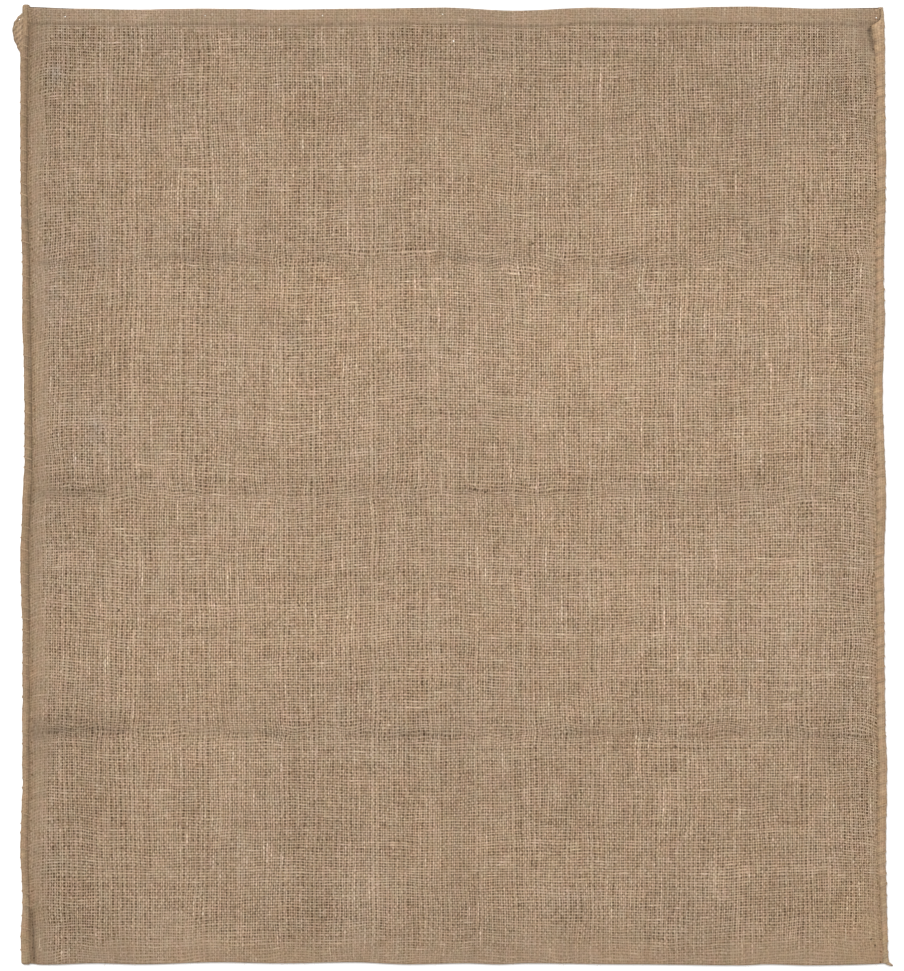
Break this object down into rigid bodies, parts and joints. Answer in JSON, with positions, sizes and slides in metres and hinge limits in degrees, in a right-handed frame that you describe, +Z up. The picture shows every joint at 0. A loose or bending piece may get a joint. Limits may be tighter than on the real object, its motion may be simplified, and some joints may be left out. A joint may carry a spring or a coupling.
{
  "type": "jute sack",
  "caption": "Empty hessian sack lying flat, folded at the bottom, with rolled and oversewn side seams and a turned hem round its open mouth.",
  "frame": {"origin": "on the surface the sack lies on, under the middle of its outline", "axes": "+Y from the bottom fold to the mouth, +X across the sack, +Z up out of its front"},
  "size_m": [0.7828, 0.859, 0.0122],
  "materials": {
    "hessian": "coarse open plain weave of undyed jute, matt",
    "twine": "undyed jute sewing twine, matt"
  },
  "bodies": {
    "root": {"sack_cloth": "hessian"}
  },
  "joints": []
}
